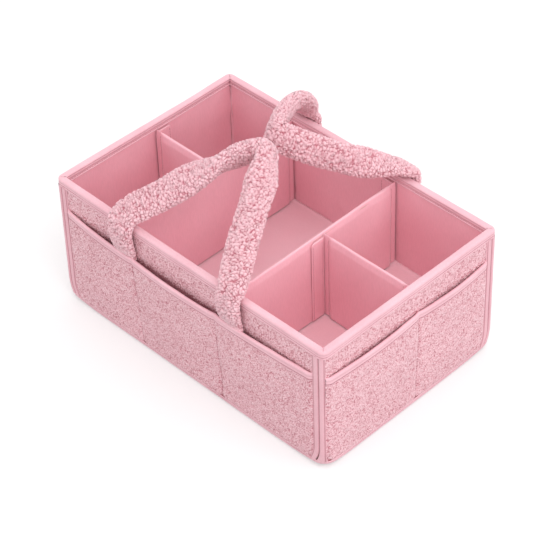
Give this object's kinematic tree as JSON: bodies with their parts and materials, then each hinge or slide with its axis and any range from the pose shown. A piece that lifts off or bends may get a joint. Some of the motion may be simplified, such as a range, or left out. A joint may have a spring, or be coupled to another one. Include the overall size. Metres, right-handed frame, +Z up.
{
  "type": "diaper caddy",
  "caption": "Rectangular pink fleece nursery caddy with outside pockets, removable dividers and padded swing handles.",
  "frame": {"origin": "centre of the base, on the surface the caddy stands on", "axes": "+X along the long side, -Y towards the front, +Z up"},
  "size_m": [0.3934, 0.2722, 0.2528],
  "materials": {
    "fleece": "nubby boucle fleece with a short pile",
    "sherpa": "curly long-pile sherpa",
    "tape": "smooth woven binding with a soft sheen",
    "lining": "smooth satin-weave lining",
    "board": "stiff hidden board",
    "padding": "hidden soft filling"
  },
  "bodies": {
    "caddy": {"base_cover": "fleece", "base_board": "board", "base_pad": "padding", "base_lining": "lining", "base_binding": "tape", "right_cover": "fleece", "right_board": "board", "right_lining": "lining", "back_cover": "fleece", "back_board": "board", "back_lining": "lining", "left_cover": "fleece", "left_board": "board", "left_lining": "lining", "front_cover": "fleece", "front_board": "board", "front_lining": "lining", "rim_binding": "tape", "back_right_corner_tape_right": "tape", "back_right_corner_tape_back": "tape", "back_left_corner_tape_back": "tape", "back_left_corner_tape_left": "tape", "front_left_corner_tape_left": "tape", "front_left_corner_tape_front": "tape", "front_right_corner_tape_front": "tape", "front_right_corner_tape_right": "tape", "front_pocket": "fleece", "front_pocket_binding": "tape", "back_pocket": "fleece", "back_pocket_binding": "tape", "left_pocket": "fleece", "left_pocket_binding": "tape", "right_pocket": "fleece", "right_pocket_binding": "tape", "front_handle_left_foot": "sherpa", "front_handle_right_foot": "sherpa", "back_handle_left_foot": "sherpa", "back_handle_right_foot": "sherpa"},
    "front_handle": {"front_handle_cover": "sherpa", "front_handle_core": "padding"},
    "back_handle": {"back_handle_cover": "sherpa", "back_handle_core": "padding"},
    "left_cross_divider": {"left_cross_divider_sleeve": "lining", "left_cross_divider_board": "board"},
    "left_cross_divider_front_flap": {"left_cross_divider_front_flap": "lining"},
    "left_cross_divider_back_flap": {"left_cross_divider_back_flap": "lining"},
    "right_cross_divider": {"right_cross_divider_sleeve": "lining", "right_cross_divider_board": "board"},
    "right_cross_divider_front_flap": {"right_cross_divider_front_flap": "lining"},
    "right_cross_divider_back_flap": {"right_cross_divider_back_flap": "lining"},
    "left_end_divider": {"left_end_divider_sleeve": "lining", "left_end_divider_board": "board"},
    "left_end_divider_outer_flap": {"left_end_divider_outer_flap": "lining"},
    "left_end_divider_inner_flap": {"left_end_divider_inner_flap": "lining"},
    "right_end_divider": {"right_end_divider_sleeve": "lining", "right_end_divider_board": "board"},
    "right_end_divider_inner_flap": {"right_end_divider_inner_flap": "lining"},
    "right_end_divider_outer_flap": {"right_end_divider_outer_flap": "lining"}
  },
  "joints": [
    {"name": "front_handle_swing", "type": "hinge", "parent": "caddy", "child": "front_handle", "pos_m": [0, -0.1343, 0.164], "axis": [1, 0, 0], "range_deg": [-8, 170]},
    {"name": "back_handle_swing", "type": "hinge", "parent": "caddy", "child": "back_handle", "pos_m": [0, 0.1343, 0.164], "axis": [-1, 0, 0], "range_deg": [-8, 170]},
    {"name": "left_cross_divider_shift", "type": "slide", "parent": "caddy", "child": "left_cross_divider", "axis": [1, 0, 0], "range_m": [0, 0.05]},
    {"name": "right_cross_divider_shift", "type": "slide", "parent": "caddy", "child": "right_cross_divider", "axis": [-1, 0, 0], "range_m": [0, 0.05]},
    {"name": "left_end_divider_lift", "type": "slide", "parent": "caddy", "child": "left_end_divider", "axis": [0, 0, 1], "range_m": [0, 0.12]},
    {"name": "right_end_divider_lift", "type": "slide", "parent": "caddy", "child": "right_end_divider", "axis": [0, 0, 1], "range_m": [0, 0.12]},
    {"name": "left_cross_divider_front_flap_peel", "type": "hinge", "parent": "left_cross_divider", "child": "left_cross_divider_front_flap", "pos_m": [-0.0903, -0.1156, 0.08], "axis": [0, 0, -1], "range_deg": [0, 75]},
    {"name": "left_cross_divider_back_flap_peel", "type": "hinge", "parent": "left_cross_divider", "child": "left_cross_divider_back_flap", "pos_m": [-0.0903, 0.1156, 0.08], "axis": [0, 0, 1], "range_deg": [0, 75]},
    {"name": "right_cross_divider_front_flap_peel", "type": "hinge", "parent": "right_cross_divider", "child": "right_cross_divider_front_flap", "pos_m": [0.0577, -0.1156, 0.08], "axis": [0, 0, -1], "range_deg": [0, 75]},
    {"name": "right_cross_divider_back_flap_peel", "type": "hinge", "parent": "right_cross_divider", "child": "right_cross_divider_back_flap", "pos_m": [0.0577, 0.1156, 0.08], "axis": [0, 0, 1], "range_deg": [0, 75]},
    {"name": "left_end_divider_outer_flap_peel", "type": "hinge", "parent": "left_end_divider", "child": "left_end_divider_outer_flap", "pos_m": [-0.1806, 0.0103, 0.08], "axis": [0, 0, -1], "range_deg": [0, 75]},
    {"name": "left_end_divider_inner_flap_peel", "type": "hinge", "parent": "left_end_divider", "child": "left_end_divider_inner_flap", "pos_m": [-0.09225, 0.0103, 0.08], "axis": [0, 0, 1], "range_deg": [0, 75]},
    {"name": "right_end_divider_inner_flap_peel", "type": "hinge", "parent": "right_end_divider", "child": "right_end_divider_inner_flap", "pos_m": [0.06425, 0.0057, 0.08], "axis": [0, 0, 1], "range_deg": [0, 75]},
    {"name": "right_end_divider_outer_flap_peel", "type": "hinge", "parent": "right_end_divider", "child": "right_end_divider_outer_flap", "pos_m": [0.1806, 0.0057, 0.08], "axis": [0, 0, -1], "range_deg": [0, 75]}
  ]
}
